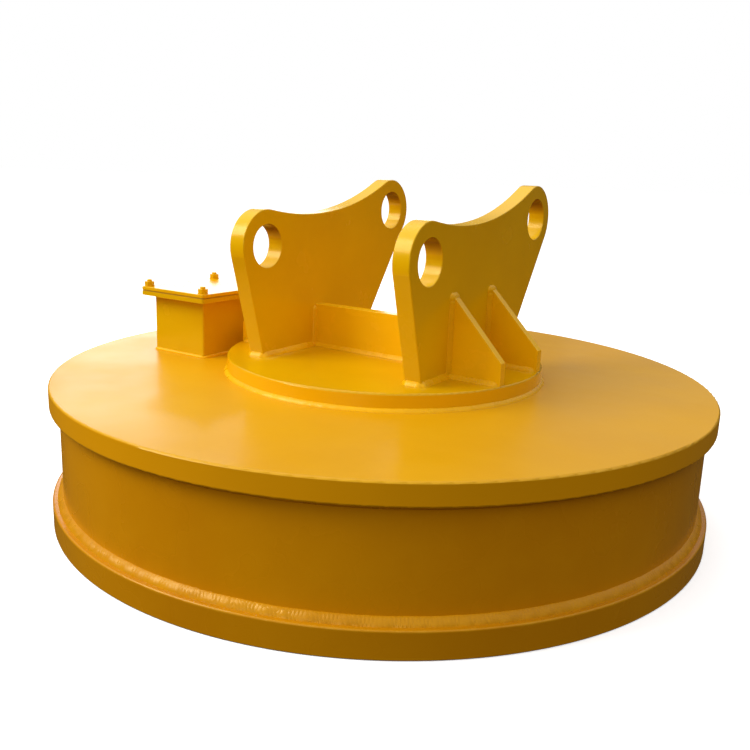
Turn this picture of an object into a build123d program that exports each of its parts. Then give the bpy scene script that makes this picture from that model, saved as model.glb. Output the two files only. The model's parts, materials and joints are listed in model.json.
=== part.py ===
"""Round lifting magnet for an excavator, pinned straight onto the stick by two ear plates.

Millimetres. +Z is up and the foot stands on z = 0. +X runs along the hanging pins, and the
magnet's axis is the Z axis. +Y points from the front pin to the rear pin.
"""
from build123d import *
from math import acos, atan2, cos, degrees, hypot, radians, sin, sqrt
import os

# ---- Magnet body ----------------------------------------------------------------------------
top_plate_r = 600
top_plate_t = 35
rim_overhang = 16           # how far the top plate stands out past the shell
shell_t = 50
shoe_lip = 18               # how far the outer pole shoe stands out past the shell
pole_shoe_t = 44
shoe_segments = 8           # the outer pole shoe is welded up from equal segments
outer_ledge = 20            # how far the outer shoe reaches in under the coil cover
inner_ledge = 40            # how far the inner shoe reaches out under the coil cover
core_r = 245
magnet_h = 245              # foot to the top face of the top plate
cover_t = 20                # non-magnetic plate that closes the coil space
plate_round = 3             # rounding of the heavy plates' edges
weld_gap = 0.5              # round pieces that are welded or potted together

shell_r = top_plate_r - rim_overhang
shell_bore_r = shell_r - shell_t
pole_shoe_r = shell_r + shoe_lip
shoe_bore_r = shell_bore_r - outer_ledge
inner_shoe_r = core_r + inner_ledge
plate_underside = magnet_h - top_plate_t
cover_top = pole_shoe_t + cover_t

# ---- Pole shoe bolts ------------------------------------------------------------------------
bolt_count = 8
bolt_circle_r = 180
bolt_r = 12
bolt_head_r = 18
bolt_head_t = 24
bolt_recess = 2             # head below the pole face
bolt_grip = 50              # depth of the shank in the core
bolt_clearance = 0.5
socket_across = 19
socket_depth = 12

# ---- Coil pack ------------------------------------------------------------------------------
coil_count = 3
insulation_t = 6
separator_t = 4
sleeve_t = 5
wrap_t = 4
potting_side = 9
potting_top = 12
jumper_side = 24

sleeve_r = core_r + weld_gap + sleeve_t
coil_inner_r = sleeve_r + weld_gap
wrap_r = shell_bore_r - weld_gap - potting_side
wrap_inner_r = wrap_r - wrap_t
coil_outer_r = wrap_inner_r - weld_gap
pack_top = plate_underside - potting_top
coil_space = pack_top - cover_top - 2 * insulation_t - (coil_count - 1) * separator_t
coil_h = coil_space / coil_count
first_coil_z = cover_top + insulation_t
coil_pitch = coil_h + separator_t

# ---- Mounting disc, ears and braces ---------------------------------------------------------
disc_r = 295
disc_t = 30
ear_t = 32
ear_gap = 302
pin_bore_r = 38.5
front_pin_y = -163.5
front_pin_h = 200.5         # above the mounting disc
rear_pin_y = 243.5
rear_pin_h = 257
front_lobe_r = 65
rear_lobe_r = 64
ear_front_foot_y = -174
ear_rear_foot_y = 145
ear_top_r = 600             # hollow top edge between the two lobes
bore_chamfer = 1
ear_round = 2
cross_plate_t = 25
cross_plate_h = 82
cross_plate_y = -10
gusset_t = 16
gusset_h = 139
gusset_toe_h = 38
gusset_nose = 4
gusset_edge_margin = 1.5    # toe set in from the rim of the mounting disc
front_gusset_y = -78
rear_gusset_y = 65
small_round = 1

disc_top = magnet_h + disc_t
ear_outer_x = ear_gap / 2 + ear_t

# ---- Terminal box ---------------------------------------------------------------------------
box_w = 133                 # along X
box_l = 352                 # along Y
box_h = 111
box_wall = 6
box_corner_r = 4
box_y = 16.5
box_disc_gap = 22           # box wall to the rim of the mounting disc
flange_overhang = 19
flange_t = 8
gasket_t = 3
gasket_setback = 1
lid_t = 6
lid_corner_r = 6
stud_r = 5
stud_inset = 12             # from the flange's edge
stud_rows = 3
stud_tip = 4                # above the nut
stud_hole_clearance = 0.5
thread_clearance = 0.3
washer_r = 10
washer_t = 2
nut_across = 17
nut_t = 8

box_x = -(disc_r + box_disc_gap + box_w / 2)
flange_w = box_w + 2 * flange_overhang
flange_l = box_l + 2 * flange_overhang
flange_z = magnet_h + box_h
gasket_z = flange_z + flange_t
lid_z = gasket_z + gasket_t
lid_top = lid_z + lid_t
stud_spacing_x = flange_w - 2 * stud_inset
stud_spacing_y = (flange_l - 2 * stud_inset) / (stud_rows - 1)

# ---- Leads and terminal board ---------------------------------------------------------------
lead_r = 6
lead_spacing = 90
lead_clearance = 0.5
bushing_wall = 7
bushing_flange_r = 20
bushing_flange_t = 5
board_w = 100
board_l = 170
board_t = 12
board_h = 40                # underside above the top plate
pillar_r = 8
pillar_inset = 13
board_screw_r = 4
board_screw_grip = 15
board_screw_head_r = 6.5
board_screw_head_t = 6
terminal_washer_r = 13
terminal_washer_t = 2.5
terminal_nut_across = 19
terminal_nut_t = 10
lead_tip = 12

bushing_r = lead_r + lead_clearance + bushing_wall
board_z = magnet_h + board_h
board_top = board_z + board_t
terminal_nut_z = board_top + terminal_washer_t

# ---- Cable gland ----------------------------------------------------------------------------
gland_bore_r = 11
gland_thread_r = 16
gland_across = 40
gland_hex_t = 8
gland_collar_l = 12
gland_cap_gap = 2           # between the body's hexagon and the cap nut
gland_seal_t = 6
gland_cap_end_t = 6
gland_cap_across = 40
gland_locknut_t = 6
gland_thread_tip = 2        # past the locknut
gland_clearance = 0.5
gland_h = 55                # axis above the top plate


# ---- Helpers --------------------------------------------------------------------------------
def ring(outer_r, inner_r, bottom, top):
    """A flat ring about the magnet's axis."""
    with BuildPart() as piece:
        with BuildSketch(Plane.XY.offset(bottom)):
            Circle(outer_r)
            Circle(inner_r, mode=Mode.SUBTRACT)
        extrude(amount=top - bottom)
    return piece


def hex_nut(across, height, bore_r):
    """A hexagon nut standing on the origin, its corners cut back at both ends."""
    corner_r = across / sqrt(3)
    corner_cut = (corner_r - across / 2) * 0.9
    with BuildPart() as nut:
        Cylinder(corner_r, height, align=(Align.CENTER, Align.CENTER, Align.MIN))
        chamfer(nut.edges().filter_by(GeomType.CIRCLE), corner_cut)
        with BuildSketch():
            RegularPolygon(across / 2, 6, major_radius=False)
            Circle(bore_r, mode=Mode.SUBTRACT)
        extrude(amount=height, mode=Mode.INTERSECT)
    return nut.part


def washer(outer_r, inner_r, thickness):
    """A flat washer lying on the origin."""
    with BuildPart() as disc:
        with BuildSketch():
            Circle(outer_r)
            Circle(inner_r, mode=Mode.SUBTRACT)
        extrude(amount=thickness)
    return disc.part


def at_each(points, height, shape):
    """Copies of one shape, one at each point of the plane at this height."""
    with BuildPart() as group:
        with Locations(*[(x, y, height) for x, y in points]):
            add(shape)
    return group


def point_on(centre, radius, angle):
    """The point of a circle at an angle in radians."""
    return (centre[0] + radius * cos(angle), centre[1] + radius * sin(angle))


def angle_to(start, end):
    return atan2(end[1] - start[1], end[0] - start[0])


# ---- Magnet body ----------------------------------------------------------------------------
lead_points = [(box_x, side * lead_spacing / 2 + box_y) for side in (-1, 1)]

with BuildPart() as top_plate:
    with BuildSketch(Plane.XY.offset(plate_underside)):
        Circle(top_plate_r)
        with Locations(*lead_points):
            Circle(bushing_r + lead_clearance, mode=Mode.SUBTRACT)
    extrude(amount=top_plate_t)
    rims = top_plate.edges().filter_by(GeomType.CIRCLE).filter_by(lambda e: e.radius > top_plate_r / 2)
    fillet(rims, plate_round)

outer_shell = ring(shell_r, shell_bore_r, pole_shoe_t, plate_underside)


def shoe_segment(index):
    """One segment of the outer pole shoe: its section turned through one share of the circle."""
    turned = Plane.XZ.rotated((0, 0, 360 * index / shoe_segments))
    with BuildPart() as segment:
        with BuildSketch(turned):
            with Locations(((pole_shoe_r + shoe_bore_r) / 2, pole_shoe_t / 2)):
                Rectangle(pole_shoe_r - shoe_bore_r, pole_shoe_t)
            fillet([v for v in vertices() if v.center().length > shell_r], plate_round)
        revolve(axis=Axis.Z, revolution_arc=360 / shoe_segments)
    return segment


pole_shoe_segments = [shoe_segment(i) for i in range(shoe_segments)]

with BuildPart() as core:
    with BuildSketch(Plane.XY.offset(pole_shoe_t)):
        Circle(core_r)
    extrude(amount=plate_underside - pole_shoe_t)
    with BuildSketch(Plane.XY.offset(pole_shoe_t)):
        with PolarLocations(bolt_circle_r, bolt_count):
            Circle(bolt_r + thread_clearance)
    extrude(amount=bolt_grip + bolt_clearance, mode=Mode.SUBTRACT)

with BuildPart() as inner_pole_shoe:
    with BuildSketch():
        Circle(inner_shoe_r)
    extrude(amount=pole_shoe_t)
    with Locations(inner_pole_shoe.faces().sort_by(Axis.Z)[0]):
        with PolarLocations(bolt_circle_r, bolt_count):
            CounterBoreHole(
                radius=bolt_r + bolt_clearance,
                counter_bore_radius=bolt_head_r + bolt_clearance,
                counter_bore_depth=bolt_recess + bolt_head_t,
            )

with BuildPart() as bolt:
    with BuildSketch():
        Circle(bolt_head_r)
        RegularPolygon(socket_across / 2, 6, major_radius=False, mode=Mode.SUBTRACT)
    extrude(amount=socket_depth)
    with BuildSketch(Plane.XY.offset(socket_depth)):
        Circle(bolt_head_r)
    extrude(amount=bolt_head_t - socket_depth)
    with BuildSketch(Plane.XY.offset(bolt_head_t)):
        Circle(bolt_r)
    extrude(amount=pole_shoe_t - bolt_recess - bolt_head_t + bolt_grip)

bolt_angles = [radians(360 * i / bolt_count) for i in range(bolt_count)]
bolt_points = [point_on((0, 0), bolt_circle_r, angle) for angle in bolt_angles]
pole_shoe_bolts = at_each(bolt_points, bolt_recess, bolt.part)

coil_cover = ring(shell_bore_r - weld_gap, core_r + weld_gap, pole_shoe_t, cover_top)


# ---- Coil pack ------------------------------------------------------------------------------
def coil_space_ring(bottom, top):
    """A ring as wide as the coils."""
    return ring(coil_outer_r, coil_inner_r, bottom, top)


lower_insulation = coil_space_ring(cover_top, first_coil_z)

with BuildPart() as upper_insulation:
    with BuildSketch(Plane.XY.offset(pack_top - insulation_t)):
        Circle(coil_outer_r)
        Circle(coil_inner_r, mode=Mode.SUBTRACT)
        with Locations(*lead_points):
            Circle(lead_r + lead_clearance, mode=Mode.SUBTRACT)
    extrude(amount=insulation_t)

coils = []
for i in range(coil_count):
    coil_z = first_coil_z + i * coil_pitch
    coils.append(coil_space_ring(coil_z, coil_z + coil_h))
lower_coil, middle_coil, upper_coil = coils

# the jumpers join one coil to the next at the inner turn, then at the outer turn
separator_levels = [first_coil_z + coil_h + i * coil_pitch for i in range(coil_count - 1)]
jumper_radii = [coil_inner_r + jumper_side, coil_outer_r - jumper_side]

with BuildPart() as coil_separators:
    for level, jumper_r in zip(separator_levels, jumper_radii):
        with BuildSketch(Plane.XY.offset(level)):
            Circle(coil_outer_r)
            Circle(coil_inner_r, mode=Mode.SUBTRACT)
            with Locations((0, jumper_r)):
                Rectangle(jumper_side + 2 * weld_gap, jumper_side + 2 * weld_gap, mode=Mode.SUBTRACT)
        extrude(amount=separator_t)

with BuildPart() as coil_jumpers:
    for level, jumper_r in zip(separator_levels, jumper_radii):
        with BuildSketch(Plane.XY.offset(level)):
            with Locations((0, jumper_r)):
                Rectangle(jumper_side, jumper_side)
        extrude(amount=separator_t)

core_sleeve = ring(sleeve_r, core_r + weld_gap, cover_top, pack_top)
coil_wrap = ring(wrap_r, wrap_inner_r, cover_top, pack_top)

with BuildPart() as potting:
    with BuildSketch(Plane.XY.offset(cover_top)):
        Circle(shell_bore_r - weld_gap)
        Circle(wrap_r + weld_gap, mode=Mode.SUBTRACT)
    extrude(amount=pack_top - cover_top)
    with BuildSketch(Plane.XY.offset(pack_top)):
        Circle(shell_bore_r - weld_gap)
        Circle(core_r + weld_gap, mode=Mode.SUBTRACT)
        with Locations(*lead_points):
            Circle(lead_r + lead_clearance, mode=Mode.SUBTRACT)
    extrude(amount=potting_top)


# ---- Mounting disc, ears and braces ---------------------------------------------------------
with BuildPart() as mounting_disc:
    with BuildSketch(Plane.XY.offset(magnet_h)):
        Circle(disc_r)
    extrude(amount=disc_t)
    fillet(mounting_disc.edges().group_by(Axis.Z)[-1], plate_round)


def ear(inner_x_plane):
    """One ear plate: two pin lobes on a tapering web, its top edge hollowed between the lobes."""
    front_pin = (front_pin_y, disc_top + front_pin_h)
    rear_pin = (rear_pin_y, disc_top + rear_pin_h)
    front_foot = (ear_front_foot_y, disc_top)
    rear_foot = (ear_rear_foot_y, disc_top)

    # straight edges leave each foot and touch the lobes
    front_reach = hypot(front_foot[0] - front_pin[0], front_foot[1] - front_pin[1])
    rear_reach = hypot(rear_foot[0] - rear_pin[0], rear_foot[1] - rear_pin[1])
    front_touch = angle_to(front_pin, front_foot) - acos(front_lobe_r / front_reach) + radians(360)
    rear_touch = angle_to(rear_pin, rear_foot) + acos(rear_lobe_r / rear_reach)

    # the hollow's centre stands ear_top_r plus a lobe's radius from each pin
    span = hypot(rear_pin[0] - front_pin[0], rear_pin[1] - front_pin[1])
    front_arm = ear_top_r + front_lobe_r
    rear_arm = ear_top_r + rear_lobe_r
    along = (front_arm**2 - rear_arm**2 + span**2) / (2 * span)
    lift = acos(along / front_arm)
    hollow = point_on(front_pin, front_arm, angle_to(front_pin, rear_pin) + lift)
    front_top = angle_to(front_pin, hollow)
    rear_top = angle_to(rear_pin, hollow)

    front_edge = point_on(front_pin, front_lobe_r, front_touch)
    hollow_start = point_on(front_pin, front_lobe_r, front_top)
    hollow_end = point_on(rear_pin, rear_lobe_r, rear_top)
    rear_edge = point_on(rear_pin, rear_lobe_r, rear_touch)
    front_crown = point_on(front_pin, front_lobe_r, (front_touch + front_top) / 2)
    hollow_low = point_on(hollow, ear_top_r, (front_top + rear_top) / 2 + radians(180))
    rear_crown = point_on(rear_pin, rear_lobe_r, (rear_top + rear_touch) / 2)

    with BuildPart() as plate:
        with BuildSketch(inner_x_plane):
            with BuildLine():
                Line(front_foot, front_edge)
                ThreePointArc(front_edge, front_crown, hollow_start)
                ThreePointArc(hollow_start, hollow_low, hollow_end)
                ThreePointArc(hollow_end, rear_crown, rear_edge)
                Line(rear_edge, rear_foot)
                Line(rear_foot, front_foot)
            make_face()
            with Locations(front_pin, rear_pin):
                Circle(pin_bore_r, mode=Mode.SUBTRACT)
        extrude(amount=ear_t)
        side_edges = plate.edges().filter_by(lambda e: abs(e.bounding_box().size.X) < 0.01)
        bore_edges = side_edges.filter_by(GeomType.CIRCLE).filter_by(lambda e: e.is_closed)
        outline_edges = side_edges.filter_by(lambda e: not e.is_closed)
        outline_edges = outline_edges.filter_by(lambda e: e.bounding_box().max.Z > disc_top + 1)
        chamfer(bore_edges, bore_chamfer)
        fillet(outline_edges, ear_round)
    return plate


left_ear = ear(Plane.YZ.offset(-ear_outer_x))
right_ear = ear(Plane.YZ.offset(ear_gap / 2))

with BuildPart() as cross_plate:
    with BuildSketch(Plane.XY.offset(disc_top)):
        with Locations((0, cross_plate_y)):
            Rectangle(ear_gap, cross_plate_t)
    extrude(amount=cross_plate_h)
    fillet(cross_plate.edges().group_by(Axis.Z)[-1].filter_by(Axis.X), small_round)


def gusset(side, centre_y):
    """A five-sided brace from an ear's outer face down to the rim of the mounting disc."""
    foot_x = side * ear_outer_x
    toe_x = side * (sqrt(disc_r**2 - (abs(centre_y) + gusset_t / 2) ** 2) - gusset_edge_margin)
    outline = [
        (foot_x, disc_top),
        (toe_x, disc_top),
        (toe_x, disc_top + gusset_toe_h),
        (foot_x + side * gusset_nose, disc_top + gusset_h),
        (foot_x, disc_top + gusset_h),
    ]
    with BuildPart() as brace:
        with BuildSketch(Plane.XZ.offset(-(centre_y + gusset_t / 2))):
            with BuildLine():
                Polyline(*outline, close=True)
            make_face()
        extrude(amount=gusset_t)
        slopes = brace.edges().filter_by(lambda e: abs(e.bounding_box().size.Z) > gusset_toe_h + 1)
        fillet(slopes.filter_by(lambda e: e.bounding_box().size.X > 1), small_round)
    return brace


right_gusset_front = gusset(1, front_gusset_y)
right_gusset_rear = gusset(1, rear_gusset_y)
left_gusset_front = gusset(-1, front_gusset_y)
left_gusset_rear = gusset(-1, rear_gusset_y)


# ---- Terminal box ---------------------------------------------------------------------------
stud_columns = [box_x - stud_spacing_x / 2, box_x + stud_spacing_x / 2]
stud_lines = [box_y + (i - (stud_rows - 1) / 2) * stud_spacing_y for i in range(stud_rows)]
stud_points = [(x, y) for x in stud_columns for y in stud_lines]
gland_plane = Plane(origin=(box_x, box_y + box_l / 2, magnet_h + gland_h), x_dir=(1, 0, 0), z_dir=(0, 1, 0))

with BuildPart() as terminal_box:
    with BuildSketch(Plane.XY.offset(magnet_h)):
        with Locations((box_x, box_y)):
            RectangleRounded(box_w, box_l, box_corner_r)
            Rectangle(box_w - 2 * box_wall, box_l - 2 * box_wall, mode=Mode.SUBTRACT)
    extrude(amount=box_h)
    with BuildSketch(gland_plane):
        Circle(gland_thread_r + gland_clearance)
    extrude(amount=-box_wall, mode=Mode.SUBTRACT)


def box_frame(width, length, corner_r, bottom, thickness, hole_r):
    """A rectangular frame around the mouth of the terminal box, with its stud holes."""
    with BuildPart() as frame:
        with BuildSketch(Plane.XY.offset(bottom)):
            with Locations((box_x, box_y)):
                RectangleRounded(width, length, corner_r)
                Rectangle(box_w - 2 * box_wall, box_l - 2 * box_wall, mode=Mode.SUBTRACT)
            with Locations(*stud_points):
                Circle(hole_r, mode=Mode.SUBTRACT)
        extrude(amount=thickness)
    return frame


gasket_w = flange_w - 2 * gasket_setback
gasket_l = flange_l - 2 * gasket_setback
gasket_corner_r = lid_corner_r - gasket_setback
stud_hole_r = stud_r + stud_hole_clearance
flange_hole_r = stud_r + thread_clearance

box_flange = box_frame(flange_w, flange_l, lid_corner_r, flange_z, flange_t, flange_hole_r)
lid_gasket = box_frame(gasket_w, gasket_l, gasket_corner_r, gasket_z, gasket_t, stud_hole_r)

with BuildPart() as terminal_lid:
    with BuildSketch(Plane.XY.offset(lid_z)):
        with Locations((box_x, box_y)):
            RectangleRounded(flange_w, flange_l, lid_corner_r)
        with Locations(*stud_points):
            Circle(stud_hole_r, mode=Mode.SUBTRACT)
    extrude(amount=lid_t)
    fillet(terminal_lid.faces().sort_by(Axis.Z)[-1].outer_wire().edges(), small_round)

stud_l = lid_top + washer_t + nut_t + stud_tip - flange_z
with BuildPart() as stud:
    Cylinder(stud_r, stud_l, align=(Align.CENTER, Align.CENTER, Align.MIN))
    chamfer(stud.edges().group_by(Axis.Z)[-1], small_round)

lid_studs = at_each(stud_points, flange_z, stud.part)
lid_washers = at_each(stud_points, lid_top, washer(washer_r, stud_hole_r, washer_t))
lid_nuts = at_each(stud_points, lid_top + washer_t, hex_nut(nut_across, nut_t, stud_r + thread_clearance))


# ---- Cable gland ----------------------------------------------------------------------------
thread_start = -(box_wall + gland_locknut_t + gland_thread_tip)
collar_end = gland_hex_t + gland_collar_l
cap_start = gland_hex_t + gland_cap_gap
cap_end = collar_end + gland_seal_t + gland_cap_end_t

with BuildPart() as gland_body:
    with BuildSketch(gland_plane.offset(thread_start)):
        Circle(gland_thread_r)
    extrude(amount=collar_end - thread_start)
    with BuildSketch(gland_plane):
        RegularPolygon(gland_across / 2, 6, major_radius=False)
    extrude(amount=gland_hex_t)
    with BuildSketch(gland_plane.offset(thread_start)):
        Circle(gland_bore_r)
    extrude(amount=collar_end - thread_start, mode=Mode.SUBTRACT)

with BuildPart() as gland_seal:
    with BuildSketch(gland_plane.offset(collar_end)):
        Circle(gland_thread_r)
        Circle(gland_bore_r, mode=Mode.SUBTRACT)
    extrude(amount=gland_seal_t)

with BuildPart() as gland_cap_nut:
    with BuildSketch(gland_plane.offset(cap_start)):
        RegularPolygon(gland_cap_across / 2, 6, major_radius=False)
        Circle(gland_thread_r + gland_clearance, mode=Mode.SUBTRACT)
    extrude(amount=cap_end - gland_cap_end_t - cap_start)
    with BuildSketch(gland_plane.offset(cap_end - gland_cap_end_t)):
        RegularPolygon(gland_cap_across / 2, 6, major_radius=False)
        Circle(gland_bore_r, mode=Mode.SUBTRACT)
    extrude(amount=gland_cap_end_t)

with BuildPart() as gland_locknut:
    with BuildSketch(gland_plane.offset(-box_wall - gland_locknut_t)):
        RegularPolygon(gland_across / 2, 6, major_radius=False)
        Circle(gland_thread_r + gland_clearance, mode=Mode.SUBTRACT)
    extrude(amount=gland_locknut_t)


# ---- Leads and terminal board ---------------------------------------------------------------
with BuildPart() as bushing:
    with BuildSketch(Plane.XY.offset(-top_plate_t)):
        Circle(bushing_r)
        Circle(lead_r + lead_clearance, mode=Mode.SUBTRACT)
    extrude(amount=top_plate_t)
    with BuildSketch():
        Circle(bushing_flange_r)
        Circle(lead_r + lead_clearance, mode=Mode.SUBTRACT)
    extrude(amount=bushing_flange_t)

lead_bottom = pack_top - insulation_t
lead_top = terminal_nut_z + terminal_nut_t + lead_tip
with BuildPart() as lead:
    Cylinder(lead_r, lead_top - lead_bottom, align=(Align.CENTER, Align.CENTER, Align.MIN))
    chamfer(lead.edges().group_by(Axis.Z)[-1], small_round)

lead_bushings = at_each(lead_points, magnet_h, bushing.part)
lead_studs = at_each(lead_points, lead_bottom, lead.part)

pillar_x = board_w / 2 - pillar_inset
pillar_y = board_l / 2 - pillar_inset
pillar_points = [(box_x + i * pillar_x, box_y + j * pillar_y) for i in (-1, 1) for j in (-1, 1)]

with BuildPart() as terminal_board:
    with BuildSketch(Plane.XY.offset(board_z)):
        with Locations((box_x, box_y)):
            Rectangle(board_w, board_l)
        with Locations(*lead_points):
            Circle(lead_r + lead_clearance, mode=Mode.SUBTRACT)
        with Locations(*pillar_points):
            Circle(board_screw_r + thread_clearance, mode=Mode.SUBTRACT)
    extrude(amount=board_t)

with BuildPart() as pillar:
    Cylinder(pillar_r, board_h, align=(Align.CENTER, Align.CENTER, Align.MIN))
    with Locations(pillar.faces().sort_by(Axis.Z)[-1]):
        Hole(board_screw_r + thread_clearance, depth=board_screw_grip + thread_clearance)

with BuildPart() as board_screw:
    with BuildSketch(Plane.XY.offset(-board_t - board_screw_grip)):
        Circle(board_screw_r)
    extrude(amount=board_t + board_screw_grip)
    with BuildSketch():
        Circle(board_screw_head_r)
    extrude(amount=board_screw_head_t)

terminal_disc = washer(terminal_washer_r, lead_r + lead_clearance, terminal_washer_t)
terminal_hex = hex_nut(terminal_nut_across, terminal_nut_t, lead_r + thread_clearance)

board_pillars = at_each(pillar_points, magnet_h, pillar.part)
board_screws = at_each(pillar_points, board_top, board_screw.part)
terminal_washers = at_each(lead_points, board_top, terminal_disc)
terminal_nuts = at_each(lead_points, terminal_nut_z, terminal_hex)


# ---- One file per piece ---------------------------------------------------------------------
pieces = {
    "top_plate": top_plate,
    "outer_shell": outer_shell,
    "inner_pole_shoe": inner_pole_shoe,
    "core": core,
    "pole_shoe_bolts": pole_shoe_bolts,
    "coil_cover": coil_cover,
    "lower_insulation": lower_insulation,
    "upper_insulation": upper_insulation,
    "lower_coil": lower_coil,
    "middle_coil": middle_coil,
    "upper_coil": upper_coil,
    "coil_separators": coil_separators,
    "coil_jumpers": coil_jumpers,
    "core_sleeve": core_sleeve,
    "coil_wrap": coil_wrap,
    "potting": potting,
    "mounting_disc": mounting_disc,
    "left_ear": left_ear,
    "right_ear": right_ear,
    "cross_plate": cross_plate,
    "right_gusset_front": right_gusset_front,
    "right_gusset_rear": right_gusset_rear,
    "left_gusset_front": left_gusset_front,
    "left_gusset_rear": left_gusset_rear,
    "terminal_box": terminal_box,
    "box_flange": box_flange,
    "lid_gasket": lid_gasket,
    "terminal_lid": terminal_lid,
    "lid_studs": lid_studs,
    "lid_washers": lid_washers,
    "lid_nuts": lid_nuts,
    "gland_body": gland_body,
    "gland_seal": gland_seal,
    "gland_cap_nut": gland_cap_nut,
    "gland_locknut": gland_locknut,
    "lead_bushings": lead_bushings,
    "lead_studs": lead_studs,
    "terminal_board": terminal_board,
    "board_pillars": board_pillars,
    "board_screws": board_screws,
    "terminal_washers": terminal_washers,
    "terminal_nuts": terminal_nuts,
}

for i, segment in enumerate(pole_shoe_segments):
    pieces[f"pole_shoe_segment_{i + 1}"] = segment

os.makedirs("parts", exist_ok=True)
for name, piece in pieces.items():
    piece.part.label = name
    export_step(piece.part, f"parts/{name}.step")
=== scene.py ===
import json
import math
import bpy
from mathutils import Matrix, Vector


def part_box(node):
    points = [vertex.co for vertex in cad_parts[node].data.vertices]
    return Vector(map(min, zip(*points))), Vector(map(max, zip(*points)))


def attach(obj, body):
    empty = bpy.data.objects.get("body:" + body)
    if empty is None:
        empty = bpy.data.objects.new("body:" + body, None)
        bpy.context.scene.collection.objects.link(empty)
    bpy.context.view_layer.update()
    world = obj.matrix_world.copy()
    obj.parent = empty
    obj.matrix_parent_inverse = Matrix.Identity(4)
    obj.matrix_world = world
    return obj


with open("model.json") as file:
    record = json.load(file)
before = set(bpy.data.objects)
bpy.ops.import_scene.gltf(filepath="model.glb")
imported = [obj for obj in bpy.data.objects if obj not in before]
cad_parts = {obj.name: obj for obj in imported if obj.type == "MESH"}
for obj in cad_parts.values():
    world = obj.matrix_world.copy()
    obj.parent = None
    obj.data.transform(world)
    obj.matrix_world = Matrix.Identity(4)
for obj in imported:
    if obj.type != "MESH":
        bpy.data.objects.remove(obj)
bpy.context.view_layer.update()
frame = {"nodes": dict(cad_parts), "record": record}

nodes = frame["nodes"]
print("frame loaded")

# camera

cameraSetup = {
    "place": (0.8379, -1.3225, 0.6094),
    "azimuth": 32.97,   # degrees, 0 looks along +Y
    "pitch": -13.51,
    "roll": 2.116,
    "lens": 40.37,
}


def addCamera(setup):
    data = bpy.data.cameras.new("camera")
    data.lens = setup["lens"]
    data.sensor_width = 36
    data.clip_end = 200
    camera = bpy.data.objects.new("camera", data)
    bpy.context.scene.collection.objects.link(camera)
    turn = (
        Matrix.Rotation(math.radians(setup["azimuth"]), 4, "Z")
        @ Matrix.Rotation(math.radians(90 + setup["pitch"]), 4, "X")
        @ Matrix.Rotation(math.radians(setup["roll"]), 4, "Z")
    )
    camera.matrix_world = Matrix.Translation(setup["place"]) @ turn
    bpy.context.scene.camera = camera


addCamera(cameraSetup)
bpy.context.scene.view_settings.view_transform = "Standard"
print("camera placed")

# small helpers for building materials


def newMaterial(name):
    material = bpy.data.materials.new(name)
    material.use_nodes = True
    tree = material.node_tree
    place = tree.nodes.new("ShaderNodeTexCoord").outputs["Object"]
    return material, tree, tree.nodes["Principled BSDF"], place


def addNoise(tree, place, scale, detail=2.0, rough=0.5, stretch=None):
    if stretch:
        mapping = tree.nodes.new("ShaderNodeMapping")
        mapping.inputs["Scale"].default_value = stretch
        tree.links.new(place, mapping.inputs["Vector"])
        place = mapping.outputs["Vector"]
    noise = tree.nodes.new("ShaderNodeTexNoise")
    noise.inputs["Scale"].default_value = scale
    noise.inputs["Detail"].default_value = detail
    noise.inputs["Roughness"].default_value = rough
    tree.links.new(place, noise.inputs["Vector"])
    return noise.outputs["Fac"]


def addRange(tree, value, fromLow, fromHigh, toLow=0.0, toHigh=1.0):
    node = tree.nodes.new("ShaderNodeMapRange")
    node.inputs["From Min"].default_value = fromLow
    node.inputs["From Max"].default_value = fromHigh
    node.inputs["To Min"].default_value = toLow
    node.inputs["To Max"].default_value = toHigh
    tree.links.new(value, node.inputs["Value"])
    return node.outputs["Result"]


def addMath(tree, kind, first, second):
    node = tree.nodes.new("ShaderNodeMath")
    node.operation = kind
    for socket, value in zip(node.inputs, (first, second)):
        if isinstance(value, (int, float)):
            socket.default_value = value
        else:
            tree.links.new(value, socket)
    return node.outputs[0]


def addMix(tree, factor, first, second):
    node = tree.nodes.new("ShaderNodeMix")
    node.data_type = "RGBA"
    tree.links.new(factor, node.inputs[0])
    for socket, colour in ((node.inputs[6], first), (node.inputs[7], second)):
        if isinstance(colour, tuple):
            socket.default_value = (*colour, 1)
        else:
            tree.links.new(colour, socket)
    return node.outputs[2]


def addBump(tree, height, distance, strength=1.0, under=None):
    node = tree.nodes.new("ShaderNodeBump")
    node.inputs["Distance"].default_value = distance
    node.inputs["Strength"].default_value = strength
    tree.links.new(height, node.inputs["Height"])
    if under:
        tree.links.new(under, node.inputs["Normal"])
    return node.outputs["Normal"]


def addHeight(tree, place):
    split = tree.nodes.new("ShaderNodeSeparateXYZ")
    tree.links.new(place, split.inputs[0])
    return split.outputs["Z"]


def addFacing(tree):
    # 1 on faces that look up, -1 on those that look down
    return addHeight(tree, tree.nodes.new("ShaderNodeNewGeometry").outputs["Normal"])


def addEdges(tree, radius, levelOnly=False):
    # 0 on a flat, 1 where the surface turns within the radius; levelOnly leaves upright edges out
    bevel = tree.nodes.new("ShaderNodeBevel")
    bevel.samples = 4
    bevel.inputs["Radius"].default_value = radius
    geometry = tree.nodes.new("ShaderNodeNewGeometry")
    if levelOnly:
        heights = [addHeight(tree, node.outputs["Normal"]) for node in (bevel, geometry)]
        turn = addMath(tree, "ABSOLUTE", addMath(tree, "SUBTRACT", *heights), 0)
        return addRange(tree, turn, 0.10, 0.45)
    dot = tree.nodes.new("ShaderNodeVectorMath")
    dot.operation = "DOT_PRODUCT"
    tree.links.new(bevel.outputs["Normal"], dot.inputs[0])
    tree.links.new(geometry.outputs["Normal"], dot.inputs[1])
    return addRange(tree, dot.outputs["Value"], 0.985, 0.80)


# the yellow enamel

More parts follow.
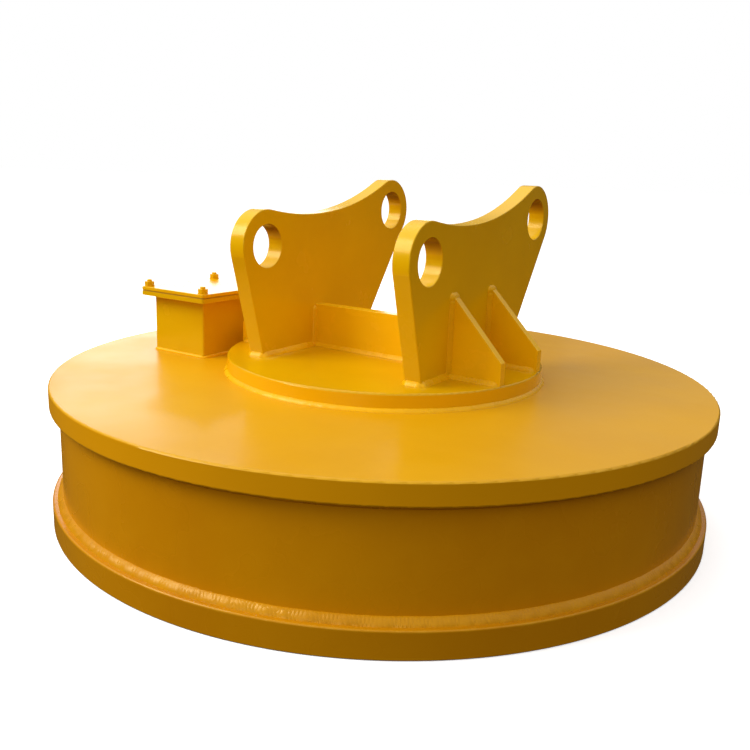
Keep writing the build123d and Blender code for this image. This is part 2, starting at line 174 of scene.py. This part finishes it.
enamel = {
    "edge": (0.900, 0.540, 0.030),       # lighter along edges: partly the coat worn thin, partly a painted highlight on the rounding
    "sheen": (1.000, 0.760, 0.300),      # tint of the gloss
    "primer": (0.150, 0.110, 0.080),     # shows in the chips
    "bare": (0.420, 0.405, 0.390),       # steel rubbed clean at the foot
    "bareDull": (0.30, 0.27, 0.24),
    "coatGloss": 0.12,
    "ior": 1.48,
    "wearAndHighlightScale": 26,                     # sizes of the patterns, per metre
    "fleckScale": 85,
    "knockScale": 9,
    "peelScale": 300,
    "orangePeelScale": 70,
    "bareScale": 140,
}


def paintFinish(name, tone, patchScale=2.2, gloss=(0.20, 0.32), wave=0.0010, waveScale=7.0,
                peel=0.00005, edgeWidth=0.004, chips=0.0, bareBelow=None, stretch=None, coat=0.08,
                uprightLightTone=None, downShadeTone=None, levelEdges=False):
    material, tree, shader, place = newMaterial(name)
    deep = (tone[0] * 0.92, tone[1] * 0.87, tone[2])            # where the coat is thicker
    thin = (tone[0] * 1.03, tone[1] * 1.07, tone[2] + 0.002)    # dry overspray
    patches = addRange(tree, addNoise(tree, place, patchScale, 4, 0.55, stretch), 0.36, 0.66)
    mottle = addRange(tree, addNoise(tree, place, patchScale * 8, 2, 0.5), 0.45, 0.80, 0.0, 0.3)
    colour = addMix(tree, patches, tone, deep)
    colour = addMix(tree, mottle, colour, thin)
    rough = addRange(tree, addNoise(tree, place, patchScale * 3, 3, 0.5), 0.3, 0.7, *gloss)
    if uprightLightTone:    # upright faces are painted a lighter tone: painted light
        upright = addRange(tree, addMath(tree, "ABSOLUTE", addFacing(tree), 0), 0.6, 0.2)
        uprightLightDeep = tuple(channel * 0.93 for channel in uprightLightTone)
        colour = addMix(tree, upright, colour, addMix(tree, patches, uprightLightTone, uprightLightDeep))
    if downShadeTone:    # faces that look down, such as the tops of the pin bores, are painted darker: painted shade
        under = addRange(tree, addFacing(tree), -0.20, -0.75)
        colour = addMix(tree, under, colour, downShadeTone)
    # edges are mixed towards the lighter edge colour: partly worn paint, partly painted highlight
    if edgeWidth:
        edges = addEdges(tree, edgeWidth, levelEdges)
        wearAndHighlight = addRange(tree, addNoise(tree, place, enamel["wearAndHighlightScale"], 4, 0.7), 0.40, 0.66, 0.10, 0.65)
        colour = addMix(tree, addMath(tree, "MULTIPLY", edges, wearAndHighlight), colour, enamel["edge"])
        if chips:
            fleckNoise = addNoise(tree, place, enamel["fleckScale"], 3, 0.6)
            flecks = addRange(tree, fleckNoise, 0.66 - chips, 0.70 - chips)
            knocks = addRange(tree, addNoise(tree, place, enamel["knockScale"], 2, 0.5), 0.52, 0.60)
            chipped = addMath(tree, "MULTIPLY", addMath(tree, "MULTIPLY", edges, flecks), knocks)
            colour = addMix(tree, chipped, colour, enamel["primer"])
    if bareBelow is not None:
        bare = addRange(tree, addHeight(tree, place), bareBelow + 0.001, bareBelow)
        turned = addRange(tree, addNoise(tree, place, enamel["bareScale"], 5, 0.7), 0.3, 0.7)
        steel = addMix(tree, turned, enamel["bare"], enamel["bareDull"])
        colour = addMix(tree, bare, colour, steel)
        tree.links.new(bare, shader.inputs["Metallic"])
    tree.links.new(colour, shader.inputs["Base Color"])
    tree.links.new(rough, shader.inputs["Roughness"])
    shader.inputs["Coat Weight"].default_value = coat
    shader.inputs["Coat Roughness"].default_value = enamel["coatGloss"]
    shader.inputs["IOR"].default_value = enamel["ior"]
    shader.inputs["Specular Tint"].default_value = (*enamel["sheen"], 1)
    normal = addBump(tree, addNoise(tree, place, waveScale, 2, 0.5), wave)
    normal = addBump(tree, addNoise(tree, place, enamel["peelScale"], 2, 0.5), peel, 0.7, normal)
    orangePeel = addNoise(tree, place, enamel["orangePeelScale"], 2, 0.5)
    normal = addBump(tree, orangePeel, peel * 1.5, 0.6, normal)
    tree.links.new(normal, shader.inputs["Normal"])
    return material


# one enamel in lighter and darker copies: the tones below differ piece by piece as painted light and shade,
# lighter on the upper pieces and top welds, darker on the shell, pole shoe and body welds
platePaint = paintFinish("platePaint", (0.720, 0.365, 0.001), patchScale=2.0, gloss=(0.30, 0.43),
                         wave=0.0030, waveScale=4.5, peel=0.000015, edgeWidth=0.005,
                         uprightLightTone=(0.840, 0.362, 0.001))
shellPaint = paintFinish("shellPaint", (0.735, 0.302, 0.001), patchScale=3.0, gloss=(0.22, 0.36),
                         wave=0.0030, waveScale=5.0, edgeWidth=0, stretch=(1, 1, 0.5))
shoePaint = paintFinish("shoePaint", (0.640, 0.262, 0.001), patchScale=3.2, gloss=(0.20, 0.34),
                        edgeWidth=0.005, chips=0.02, bareBelow=0.0012, levelEdges=True)
discPaint = paintFinish("discPaint", (0.710, 0.385, 0.001), patchScale=3.6, gloss=(0.10, 0.18),
                        wave=0.0010, peel=0.00003, uprightLightTone=(0.920, 0.465, 0.001))
# the ears' down-facing faces, the tops of the pin bores, take a darker painted shade colour
earPaint = paintFinish("earPaint", (0.870, 0.505, 0.001), patchScale=4.2, gloss=(0.16, 0.28),
                       wave=0.0012, waveScale=9.0, downShadeTone=(0.230, 0.100, 0.004))
bracePaint = paintFinish("bracePaint", (0.970, 0.540, 0.001), patchScale=5.5, gloss=(0.18, 0.30),
                         wave=0.0010, waveScale=11.0)
boxPaint = paintFinish("boxPaint", (0.745, 0.430, 0.001), patchScale=6.0, gloss=(0.16, 0.28),
                       wave=0.0008, waveScale=12.0, edgeWidth=0.003)
lidPaint = paintFinish("lidPaint", (0.840, 0.460, 0.002), patchScale=5.0, gloss=(0.20, 0.30),
                       wave=0.0006, waveScale=10.0, edgeWidth=0.003, coat=0.24)
nutPaint = paintFinish("nutPaint", (0.840, 0.460, 0.002), patchScale=30, gloss=(0.20, 0.34),
                       wave=0.0003, waveScale=90, edgeWidth=0.0015, chips=0.03)
bodyWeldPaint = paintFinish("bodyWeldPaint", (0.680, 0.295, 0.001), patchScale=12, gloss=(0.24, 0.38),
                            wave=0.0005, waveScale=60, edgeWidth=0, coat=0.03)
topWeldPaint = paintFinish("topWeldPaint", (0.940, 0.500, 0.001), patchScale=12, gloss=(0.22, 0.36),
                           wave=0.0004, waveScale=60, edgeWidth=0, coat=0.05)

# bare metals, board, resin and rubber


def metalFinish(name, bright, dark, gloss, grain=160, ringPitch=None, metallic=1.0, pits=0.00008):
    material, tree, shader, place = newMaterial(name)
    stain = addRange(tree, addNoise(tree, place, 8, 5, 0.65), 0.35, 0.70)
    colour = addMix(tree, stain, bright, dark)
    edges = addEdges(tree, 0.0015)
    lighter = tuple(min(1.0, channel * 1.35 + 0.05) for channel in bright)
    colour = addMix(tree, addMath(tree, "MULTIPLY", edges, 0.6), colour, lighter)
    tree.links.new(colour, shader.inputs["Base Color"])
    fine = addNoise(tree, place, grain, 4, 0.6)
    tree.links.new(addRange(tree, fine, 0.3, 0.7, *gloss), shader.inputs["Roughness"])
    shader.inputs["Metallic"].default_value = metallic
    normal = addBump(tree, fine, pits)
    if ringPitch:
        rings = tree.nodes.new("ShaderNodeTexWave")
        rings.wave_type = "RINGS"
        rings.rings_direction = "Z"
        rings.inputs["Scale"].default_value = math.pi / (10 * ringPitch)
        rings.inputs["Distortion"].default_value = 0.4
        tree.links.new(place, rings.inputs["Vector"])
        normal = addBump(tree, rings.outputs["Fac"], 0.00006, 0.8, normal)
    tree.links.new(normal, shader.inputs["Normal"])
    return material


def mouldedFinish(name, light, dark, gloss, grain, depth, stretch=None):
    material, tree, shader, place = newMaterial(name)
    cloud = addRange(tree, addNoise(tree, place, grain / 12, 4, 0.6), 0.35, 0.7)
    fleck = addRange(tree, addNoise(tree, place, grain, 5, 0.7, stretch), 0.4, 0.7, 0.0, 0.6)
    colour = addMix(tree, fleck, addMix(tree, cloud, light, dark), dark)
    edges = addEdges(tree, 0.0012)
    lighter = tuple(min(1.0, channel * 1.5 + 0.02) for channel in light)
    colour = addMix(tree, addMath(tree, "MULTIPLY", edges, 0.4), colour, lighter)
    tree.links.new(colour, shader.inputs["Base Color"])
    rough = addRange(tree, addNoise(tree, place, grain / 3, 4, 0.6), 0.3, 0.7, *gloss)
    tree.links.new(rough, shader.inputs["Roughness"])
    normal = addBump(tree, addNoise(tree, place, grain, 4, 0.6, stretch), depth)
    tree.links.new(normal, shader.inputs["Normal"])
    return material


poleSteel = metalFinish("poleSteel", (0.46, 0.45, 0.44), (0.26, 0.23, 0.20), (0.28, 0.48), ringPitch=0.0022)
blackBolt = metalFinish("blackBolt", (0.035, 0.034, 0.036), (0.015, 0.014, 0.014), (0.35, 0.55),
                        metallic=0.6)
coverSteel = metalFinish("coverSteel", (0.34, 0.32, 0.30), (0.17, 0.13, 0.10), (0.40, 0.65), grain=90)
coilMetal = metalFinish("coilMetal", (0.72, 0.73, 0.75), (0.55, 0.56, 0.58), (0.25, 0.42), ringPitch=0.0016)
brassMetal = metalFinish("brassMetal", (0.74, 0.52, 0.20), (0.45, 0.29, 0.11), (0.20, 0.40), grain=400)
nickelMetal = metalFinish("nickelMetal", (0.62, 0.58, 0.52), (0.42, 0.38, 0.33), (0.16, 0.34), grain=420)
laminate = mouldedFinish("laminate", (0.42, 0.30, 0.13), (0.27, 0.18, 0.08), (0.40, 0.60), 260, 0.00008,
                         (1, 1, 6))
castResin = mouldedFinish("castResin", (0.10, 0.05, 0.03), (0.05, 0.028, 0.02), (0.25, 0.45), 120, 0.00010)
paintedGasket = mouldedFinish("paintedGasket", (0.560, 0.300, 0.003), (0.420, 0.210, 0.003), (0.35, 0.55),
                              300, 0.00008)    # the paint runs over its outer edge
blackRubber = mouldedFinish("blackRubber", (0.022, 0.022, 0.022), (0.012, 0.012, 0.012), (0.55, 0.75), 500,
                            0.00006)

# what each node is finished in; the nodes not named here follow their material slot
nodeFinishes = {
    "top_plate": platePaint,
    "outer_shell": shellPaint,
    "mounting_disc": discPaint,
    "left_ear": earPaint,
    "right_ear": earPaint,
    "cross_plate": bracePaint,
    "right_gusset_front": bracePaint,
    "right_gusset_rear": bracePaint,
    "left_gusset_front": bracePaint,
    "left_gusset_rear": bracePaint,
    "terminal_box": boxPaint,
    "box_flange": boxPaint,
    "terminal_lid": lidPaint,
    "lid_gasket": paintedGasket,
}
slotFinishes = {
    "yellow_paint": shoePaint,
    "painted_fasteners": nutPaint,
    "pole_steel": poleSteel,
    "black_bolts": blackBolt,
    "cover_steel": coverSteel,
    "coil_aluminium": coilMetal,
    "insulation_board": laminate,
    "potting_resin": castResin,
    "black_rubber": blackRubber,
    "terminal_brass": brassMetal,
    "gland_brass": nickelMetal,
}

for part in frame["record"]["subparts"]:    # the CAD solids keep their shapes
    finish = nodeFinishes.get(part["node"], slotFinishes[part["material_slot"]])
    for materialSlot in nodes[part["node"]].material_slots:
        materialSlot.material = finish
print("finishes made")

# weld beads, each a row of overlapping ripples

weldRipple = {
    "pitch": 0.0050,         # advance of each ripple
    "ringAlong": 0.0240,     # half length of a ripple in the round welds
    "along": 0.0130,         # and in the straight ones
    "segments": 10,          # faces around a ripple, and along it
    "rings": 6,
    "uneven": 0.0016,        # how far the bead wanders
    "unevenScale": 0.035,
    "sink": 0.40,            # how deep the bead's centre lies in both plates, in its radii
}


def beadSize(leg):
    # radius and depth of a bead whose face shows this leg on each plate
    sink = weldRipple["sink"]
    radius = leg / (math.sqrt(1 - sink ** 2) - sink)
    return radius, sink * radius


def clearSelection():
    bpy.ops.object.select_all(action="DESELECT")


def addRipple(place, across, direction, along):
    # one ripple of the bead, longest along the seam
    size = [across, across, across]
    size["XYZ".index(direction)] = along
    clearSelection()
    bpy.ops.mesh.primitive_uv_sphere_add(segments=weldRipple["segments"], ring_count=weldRipple["rings"],
                                         radius=1, location=place, scale=size)
    bpy.ops.object.transform_apply(location=True, rotation=True, scale=True)
    return bpy.context.object


def applyModifiers(piece):
    bpy.context.view_layer.objects.active = piece
    for modifier in list(piece.modifiers):
        bpy.ops.object.modifier_apply(modifier=modifier.name)


def wander(piece, texture):
    # the bead's width changes a little along its run
    displace = piece.modifiers.new("wander", "DISPLACE")
    displace.texture = texture
    displace.texture_coords = "LOCAL"
    displace.strength = weldRipple["uneven"]
    displace.mid_level = 0.5


unevenTexture = bpy.data.textures.new("unevenBead", "CLOUDS")
unevenTexture.noise_scale = weldRipple["unevenScale"]
unevenTexture.noise_depth = 1


def finishWeld(piece, name, paint):
    # name it, paint it and let it ride on the magnet
    wander(piece, unevenTexture)
    applyModifiers(piece)
    bpy.ops.object.shade_smooth()
    piece.name = name
    piece.data.materials.append(paint)
    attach(piece, "magnet")


def ringWeld(name, radius, height, across, paint):
    # one ripple spun round the magnet's axis
    piece = addRipple((radius, 0, height), across, "Y", weldRipple["ringAlong"])
    steps = round(2 * math.pi * radius / weldRipple["pitch"])
    bpy.ops.object.mode_set(mode="EDIT")
    bpy.ops.mesh.select_all(action="SELECT")
    bpy.ops.mesh.spin(steps=steps, dupli=True, angle=2 * math.pi * (steps - 1) / steps,
                      center=(0, 0, 0), axis=(0, 0, 1), use_auto_merge=False)
    bpy.ops.mesh.select_all(action="SELECT")
    bpy.ops.mesh.normals_make_consistent(inside=False)
    bpy.ops.object.mode_set(mode="OBJECT")
    finishWeld(piece, name, paint)


def straightWelds(name, runs, across):
    # one piece from several straight runs, each given as start, axis and length
    beads = []
    for start, direction, length in runs:
        bead = addRipple(start, across, direction, weldRipple["along"])
        row = bead.modifiers.new("row", "ARRAY")
        row.use_relative_offset = False
        row.use_constant_offset = True
        offset = [0, 0, 0]
        count = max(2, round(length / weldRipple["pitch"]))
        offset["XYZ".index(direction)] = length / count
        row.constant_offset_displace = offset
        row.count = count + 1
        applyModifiers(bead)
        beads.append(bead)
    clearSelection()
    for bead in beads:
        bead.select_set(True)
    bpy.context.view_layer.objects.active = beads[0]
    bpy.ops.object.join()
    finishWeld(bpy.context.object, name, topWeldPaint)


def rectangleRuns(low, high, height, short):
    # short: how far the runs stop before the corners, where the end ripples meet
    wide, deep = high.x - low.x - 2 * short, high.y - low.y - 2 * short
    return [
        ((low.x + short, low.y, height), "X", wide),
        ((low.x + short, high.y, height), "X", wide),
        ((low.x, low.y + short, height), "Y", deep),
        ((high.x, low.y + short, height), "Y", deep),
    ]


shellLow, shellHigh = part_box("outer_shell")
discLow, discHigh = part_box("mounting_disc")
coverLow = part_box("coil_cover")[0]
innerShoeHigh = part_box("inner_pole_shoe")[1]

recessRadius = shellHigh.x - 0.070    # wall of the outer pole shoe's bore

ringWelds = {
    # name: radius, height, leg, way into the round plate, way into the flat one, paint
    "shoeWeld": (shellHigh.x, shellLow.z, 0.0115, -1, -1, bodyWeldPaint),
    "shellWeld": (shellHigh.x, shellHigh.z, 0.0080, -1, 1, bodyWeldPaint),
    "discWeld": (discHigh.x, discLow.z, 0.0065, -1, -1, topWeldPaint),
    "outerCoverWeld": (recessRadius, coverLow.z, 0.0055, 1, 1, bodyWeldPaint),
    "innerCoverWeld": (innerShoeHigh.x, coverLow.z, 0.0055, -1, 1, bodyWeldPaint),
}
for weldName, (radius, height, leg, outward, upward, paint) in ringWelds.items():
    across, sink = beadSize(leg)
    ringWeld(weldName, radius + outward * sink, height + upward * sink, across, paint)

earFoot = {"front": -0.174, "rear": 0.145, "leg": 0.0090}    # the ears stand on the disc from front to rear
for side in ("left", "right"):
    low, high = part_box(side + "_ear")
    across, sink = beadSize(earFoot["leg"])
    footLow = Vector((low.x + sink, earFoot["front"] + sink, low.z))
    footHigh = Vector((high.x - sink, earFoot["rear"] - sink, low.z))
    straightWelds(side + "EarWeld", rectangleRuns(footLow, footHigh, low.z - sink, 0), across)

crossPlate = {"leg": 0.0070, "short": 0.012}    # the upright runs stop short of its top
low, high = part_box("cross_plate")
across, sink = beadSize(crossPlate["leg"])
crossRuns = []
for x in (low.x - sink, high.x + sink):
    for y in (low.y + sink, high.y - sink):
        crossRuns.append(((x, y, low.z), "Z", high.z - low.z - crossPlate["short"]))
for y in (low.y + sink, high.y - sink):
    crossRuns.append(((low.x, y, low.z - sink), "X", high.x - low.x))
straightWelds("crossPlateWeld", crossRuns, across)

gussetWelds = {"sideLeg": 0.0080, "topLeg": 0.0060, "short": 0.012, "topInset": 0.004}
for side in ("left", "right"):
    for end in ("front", "rear"):
        low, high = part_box(side + "_gusset_" + end)
        into = 1 if side == "left" else -1     # towards the ear
        root = high.x if side == "left" else low.x
        across, sink = beadSize(gussetWelds["sideLeg"])
        tall = high.z - low.z - gussetWelds["short"]
        footStart = low.x + (gussetWelds["short"] if side == "left" else 0)
        footLength = high.x - low.x - gussetWelds["short"]
        straightWelds(side + end.capitalize() + "GussetWeld", [
            ((root + into * sink, low.y + sink, low.z), "Z", tall),
            ((root + into * sink, high.y - sink, low.z), "Z", tall),
            ((footStart, low.y + sink, low.z - sink), "X", footLength),
            ((footStart, high.y - sink, low.z - sink), "X", footLength),
        ], across)
        across, sink = beadSize(gussetWelds["topLeg"])
        topInset = gussetWelds["topInset"]
        straightWelds(side + end.capitalize() + "GussetTopWeld", [
            ((root + into * sink, low.y + topInset, high.z - sink), "Y", high.y - low.y - 2 * topInset),
        ], across)

boxWelds = {"footRadius": 0.0045, "flangeRadius": 0.0040, "short": 0.011, "off": 0.0005}
low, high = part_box("terminal_box")
footRuns = rectangleRuns(low, high, low.z + boxWelds["off"], boxWelds["short"])
flangeRuns = rectangleRuns(low, high, high.z - boxWelds["off"], boxWelds["short"])
straightWelds("boxFootWeld", footRuns, boxWelds["footRadius"])
straightWelds("boxFlangeWeld", flangeRuns, boxWelds["flangeRadius"])
print("welds laid")

# floor, sky and soft boxes

floorCloth = {
    "radius": 60,
    "light": (0.93, 0.93, 0.93),
    "dark": (0.90, 0.90, 0.90),
    "patchScale": 3,
    "rough": 0.9,
    "glow": 0.5,     # keeps the cloth pale
}
clearSelection()
bpy.ops.mesh.primitive_circle_add(vertices=96, radius=floorCloth["radius"], fill_type="NGON",
                                  location=(0, 0, 0))
floor = bpy.context.object
floor.name = "floor"
floor.visible_diffuse = False    # the pale floor doesn't wash the sides with light
floor.visible_glossy = False
floorMaterial, tree, shader, place = newMaterial("floorCloth")
floorPatches = addRange(tree, addNoise(tree, place, floorCloth["patchScale"], 3, 0.5), 0.3, 0.7)
floorTone = addMix(tree, floorPatches, floorCloth["light"], floorCloth["dark"])
tree.links.new(floorTone, shader.inputs["Base Color"])
shader.inputs["Roughness"].default_value = floorCloth["rough"]
shader.inputs["Emission Color"].default_value = (1, 1, 1, 1)
shader.inputs["Emission Strength"].default_value = floorCloth["glow"]
floor.data.materials.append(floorMaterial)

skyTones = {
    # height in the sky from 0, straight down, to 1, straight up: colour
    0.48: (0.100, 0.070, 0.022),
    0.53: (0.090, 0.085, 0.075),
    0.64: (0.150, 0.150, 0.150),
    0.85: (0.950, 0.950, 0.950),
}
backdropTone = (1.0, 1.0, 1.0)    # what shows behind the magnet


def addSky(tones, backdrop):
    world = bpy.data.worlds.new("studio")
    bpy.context.scene.world = world
    world.use_nodes = True
    tree = world.node_tree
    back = tree.nodes["Background"]
    way = tree.nodes.new("ShaderNodeTexCoord").outputs["Generated"]
    ramp = tree.nodes.new("ShaderNodeValToRGB")
    stops = ramp.color_ramp.elements
    while len(stops) < len(tones):
        stops.new(0.5)
    for stop, (height, tone) in zip(stops, tones.items()):
        stop.position = height
        stop.color = (*tone, 1)
    tree.links.new(addRange(tree, addHeight(tree, way), -1, 1), ramp.inputs["Fac"])
    seen = tree.nodes.new("ShaderNodeLightPath").outputs["Is Camera Ray"]
    tree.links.new(addMix(tree, seen, ramp.outputs["Color"], backdrop), back.inputs["Color"])


addSky(skyTones, backdropTone)

softBoxes = {
    # name: place, aim, width, height in metres, power in watts
    "backLeft": ((-2.52, 2.40, 0.92), (0, 0, 0.3), 2.4, 1.0, 21),
    "backRight": ((-0.2, 3.4, 1.0), (0, 0, 0.3), 1.4, 0.8, 0.7),
    "overhead": ((-0.8, 0.0, 3.0), (0, 0, 0.2), 2.4, 2.4, 15),
    "frontLeft": ((-2.0, -2.2, 2.7), (0, 0, 0.3), 2.0, 2.0, 87),
    "frontFill": ((0.5, -3.3, 1.2), (0, 0, 0.3), 1.8, 1.2, 12),
}


def addSoftBox(name, place, aim, width, height, power):
    data = bpy.data.lights.new(name, "AREA")
    data.shape = "RECTANGLE"
    data.size = width
    data.size_y = height
    data.energy = power
    light = bpy.data.objects.new(name, data)
    bpy.context.scene.collection.objects.link(light)
    light.location = place
    light.rotation_euler = (Vector(aim) - Vector(place)).to_track_quat("-Z", "Y").to_euler()


for boxName, (place, aim, width, height, power) in softBoxes.items():
    addSoftBox(boxName, place, aim, width, height, power)
print("stage lit")
